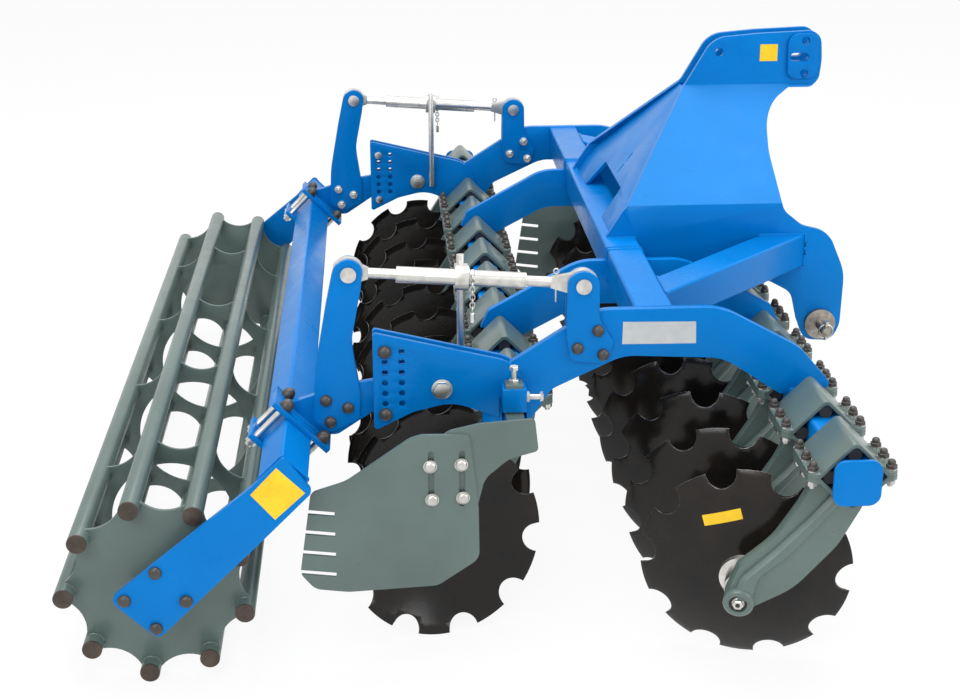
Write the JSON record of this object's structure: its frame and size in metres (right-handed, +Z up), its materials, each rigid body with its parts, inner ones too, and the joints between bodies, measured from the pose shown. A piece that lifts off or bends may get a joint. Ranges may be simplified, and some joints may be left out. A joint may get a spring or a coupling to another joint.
{
  "type": "mounted compact disc harrow with cage roller",
  "caption": "Mounted compact disc harrow: two rows of notched discs on rubber-sprung arms, three-point headstock, cage roller with spindle depth control",
  "frame": {"origin": "under the middle of the whole on the floor, where it stands parked on its discs and roller", "axes": "+X forward, the way it is pulled, +Y to the machine's left, +Z up"},
  "size_m": [2.2031, 3.214, 1.4104],
  "materials": {
    "blue_paint": "gloss",
    "grey_paint": "satin",
    "black_steel": "gloss",
    "zinc_steel": "satin",
    "black_rubber": "matte",
    "dark_plug": "matte"
  },
  "bodies": {
    "frame": {"arms": "grey_paint", "beam_caps": "blue_paint", "beams": "blue_paint", "bracket_pins": "zinc_steel", "cross_beam": "blue_paint", "deflector_sockets": "blue_paint", "deflectors": "grey_paint", "inner_plates": "blue_paint", "lower_hitch_pins": "zinc_steel", "mast_back_plate": "blue_paint", "mast_braces": "blue_paint", "mast_plates": "blue_paint", "pivot_bolts": "zinc_steel", "pivot_plates": "blue_paint", "rubber_rods": "black_rubber", "saddles": "grey_paint", "side_plates": "blue_paint", "spindle_brackets": "blue_paint", "stop_bolts": "zinc_steel", "top_link_cheeks": "blue_paint"},
    "disc_front_01_body": {"disc_front_01": "black_steel"},
    "disc_front_02_body": {"disc_front_02": "black_steel"},
    "disc_front_03_body": {"disc_front_03": "black_steel"},
    "disc_front_04_body": {"disc_front_04": "black_steel"},
    "disc_front_05_body": {"disc_front_05": "black_steel"},
    "disc_front_06_body": {"disc_front_06": "black_steel"},
    "disc_front_07_body": {"disc_front_07": "black_steel"},
    "disc_front_08_body": {"disc_front_08": "black_steel"},
    "disc_front_09_body": {"disc_front_09": "black_steel"},
    "disc_front_10_body": {"disc_front_10": "black_steel"},
    "disc_rear_01_body": {"disc_rear_01": "black_steel"},
    "disc_rear_02_body": {"disc_rear_02": "black_steel"},
    "disc_rear_03_body": {"disc_rear_03": "black_steel"},
    "disc_rear_04_body": {"disc_rear_04": "black_steel"},
    "disc_rear_05_body": {"disc_rear_05": "black_steel"},
    "disc_rear_06_body": {"disc_rear_06": "black_steel"},
    "disc_rear_07_body": {"disc_rear_07": "black_steel"},
    "disc_rear_08_body": {"disc_rear_08": "black_steel"},
    "disc_rear_09_body": {"disc_rear_09": "black_steel"},
    "disc_rear_10_body": {"disc_rear_10": "black_steel"},
    "roller_frame": {"roller_cross_tube": "blue_paint", "roller_arms": "blue_paint", "levers": "blue_paint", "lever_pins": "zinc_steel", "roller_clamps": "blue_paint", "roller_clamp_rods": "zinc_steel", "roller_side_plates": "blue_paint", "roller_bearings": "zinc_steel"},
    "roller": {"roller_tubes": "grey_paint", "roller_tube_caps": "dark_plug", "roller_end_plates": "grey_paint", "roller_rings": "grey_paint"},
    "spindle_left": {"spindle_tube_left": "zinc_steel"},
    "spindle_screw_left": {"spindle_rod_left": "zinc_steel"},
    "spindle_right": {"spindle_tube_right": "zinc_steel"},
    "spindle_screw_right": {"spindle_rod_right": "zinc_steel"}
  },
  "joints": [
    {"name": "disc_front_01_spin", "type": "hinge", "parent": "frame", "child": "disc_front_01_body", "pos_m": [0.64213, -1.31072, 0.26852], "axis": [-0.2908, -0.9511, -0.1045], "continuous": true},
    {"name": "disc_front_02_spin", "type": "hinge", "parent": "frame", "child": "disc_front_02_body", "pos_m": [0.64213, -1.04072, 0.26852], "axis": [-0.2908, -0.9511, -0.1045], "continuous": true},
    {"name": "disc_front_03_spin", "type": "hinge", "parent": "frame", "child": "disc_front_03_body", "pos_m": [0.64213, -0.77072, 0.26852], "axis": [-0.2908, -0.9511, -0.1045], "continuous": true},
    {"name": "disc_front_04_spin", "type": "hinge", "parent": "frame", "child": "disc_front_04_body", "pos_m": [0.64213, -0.50072, 0.26852], "axis": [-0.2908, -0.9511, -0.1045], "continuous": true},
    {"name": "disc_front_05_spin", "type": "hinge", "parent": "frame", "child": "disc_front_05_body", "pos_m": [0.64213, -0.23072, 0.26852], "axis": [-0.2908, -0.9511, -0.1045], "continuous": true},
    {"name": "disc_front_06_spin", "type": "hinge", "parent": "frame", "child": "disc_front_06_body", "pos_m": [0.64213, 0.03928, 0.26852], "axis": [-0.2908, -0.9511, -0.1045], "continuous": true},
    {"name": "disc_front_07_spin", "type": "hinge", "parent": "frame", "child": "disc_front_07_body", "pos_m": [0.64213, 0.30928, 0.26852], "axis": [-0.2908, -0.9511, -0.1045], "continuous": true},
    {"name": "disc_front_08_spin", "type": "hinge", "parent": "frame", "child": "disc_front_08_body", "pos_m": [0.64213, 0.57928, 0.26852], "axis": [-0.2908, -0.9511, -0.1045], "continuous": true},
    {"name": "disc_front_09_spin", "type": "hinge", "parent": "frame", "child": "disc_front_09_body", "pos_m": [0.64213, 0.84928, 0.26852], "axis": [-0.2908, -0.9511, -0.1045], "continuous": true},
    {"name": "disc_front_10_spin", "type": "hinge", "parent": "frame", "child": "disc_front_10_body", "pos_m": [0.64213, 1.11928, 0.26852], "axis": [-0.2908, -0.9511, -0.1045], "continuous": true},
    {"name": "disc_rear_01_spin", "type": "hinge", "parent": "frame", "child": "disc_rear_01_body", "pos_m": [-0.11787, 1.31072, 0.26852], "axis": [-0.2908, 0.9511, -0.1045], "continuous": true},
    {"name": "disc_rear_02_spin", "type": "hinge", "parent": "frame", "child": "disc_rear_02_body", "pos_m": [-0.11787, 1.04072, 0.26852], "axis": [-0.2908, 0.9511, -0.1045], "continuous": true},
    {"name": "disc_rear_03_spin", "type": "hinge", "parent": "frame", "child": "disc_rear_03_body", "pos_m": [-0.11787, 0.77072, 0.26852], "axis": [-0.2908, 0.9511, -0.1045], "continuous": true},
    {"name": "disc_rear_04_spin", "type": "hinge", "parent": "frame", "child": "disc_rear_04_body", "pos_m": [-0.11787, 0.50072, 0.26852], "axis": [-0.2908, 0.9511, -0.1045], "continuous": true},
    {"name": "disc_rear_05_spin", "type": "hinge", "parent": "frame", "child": "disc_rear_05_body", "pos_m": [-0.11787, 0.23072, 0.26852], "axis": [-0.2908, 0.9511, -0.1045], "continuous": true},
    {"name": "disc_rear_06_spin", "type": "hinge", "parent": "frame", "child": "disc_rear_06_body", "pos_m": [-0.11787, -0.03928, 0.26852], "axis": [-0.2908, 0.9511, -0.1045], "continuous": true},
    {"name": "disc_rear_07_spin", "type": "hinge", "parent": "frame", "child": "disc_rear_07_body", "pos_m": [-0.11787, -0.30928, 0.26852], "axis": [-0.2908, 0.9511, -0.1045], "continuous": true},
    {"name": "disc_rear_08_spin", "type": "hinge", "parent": "frame", "child": "disc_rear_08_body", "pos_m": [-0.11787, -0.57928, 0.26852], "axis": [-0.2908, 0.9511, -0.1045], "continuous": true},
    {"name": "disc_rear_09_spin", "type": "hinge", "parent": "frame", "child": "disc_rear_09_body", "pos_m": [-0.11787, -0.84928, 0.26852], "axis": [-0.2908, 0.9511, -0.1045], "continuous": true},
    {"name": "disc_rear_10_spin", "type": "hinge", "parent": "frame", "child": "disc_rear_10_body", "pos_m": [-0.11787, -1.11928, 0.26852], "axis": [-0.2908, 0.9511, -0.1045], "continuous": true},
    {"name": "roller_lift", "type": "hinge", "parent": "frame", "child": "roller_frame", "pos_m": [-0.11987, 0, 0.683], "axis": [0, 1, 0], "range_deg": [-1.5, 12]},
    {"name": "roller_spin", "type": "hinge", "parent": "roller_frame", "child": "roller", "pos_m": [-0.84787, 0, 0.25229], "axis": [0, 1, 0], "continuous": true},
    {"name": "spindle_swing_left", "type": "hinge", "parent": "frame", "child": "spindle_left", "pos_m": [0.24013, 1.08, 0.95], "axis": [0, 1, 0], "range_deg": [-0.83, 5.24]},
    {"name": "spindle_slide_left", "type": "slide", "parent": "spindle_left", "child": "spindle_screw_left", "axis": [-0.9974, 0, 0.0726], "range_m": [-0.0646, 0.0089]},
    {"name": "spindle_swing_right", "type": "hinge", "parent": "frame", "child": "spindle_right", "pos_m": [0.24013, -1.08, 0.95], "axis": [0, 1, 0], "range_deg": [-0.83, 5.24]},
    {"name": "spindle_slide_right", "type": "slide", "parent": "spindle_right", "child": "spindle_screw_right", "axis": [-0.9974, 0, 0.0726], "range_m": [-0.0646, 0.0089]}
  ],
  "couplings": [
    {"joint": "spindle_swing_left", "follows": "roller_lift", "ratio": 0.42034},
    {"joint": "spindle_slide_left", "follows": "roller_lift", "m_per_rad": -0.30353},
    {"joint": "spindle_swing_right", "follows": "roller_lift", "ratio": 0.42034},
    {"joint": "spindle_slide_right", "follows": "roller_lift", "m_per_rad": -0.30353}
  ]
}
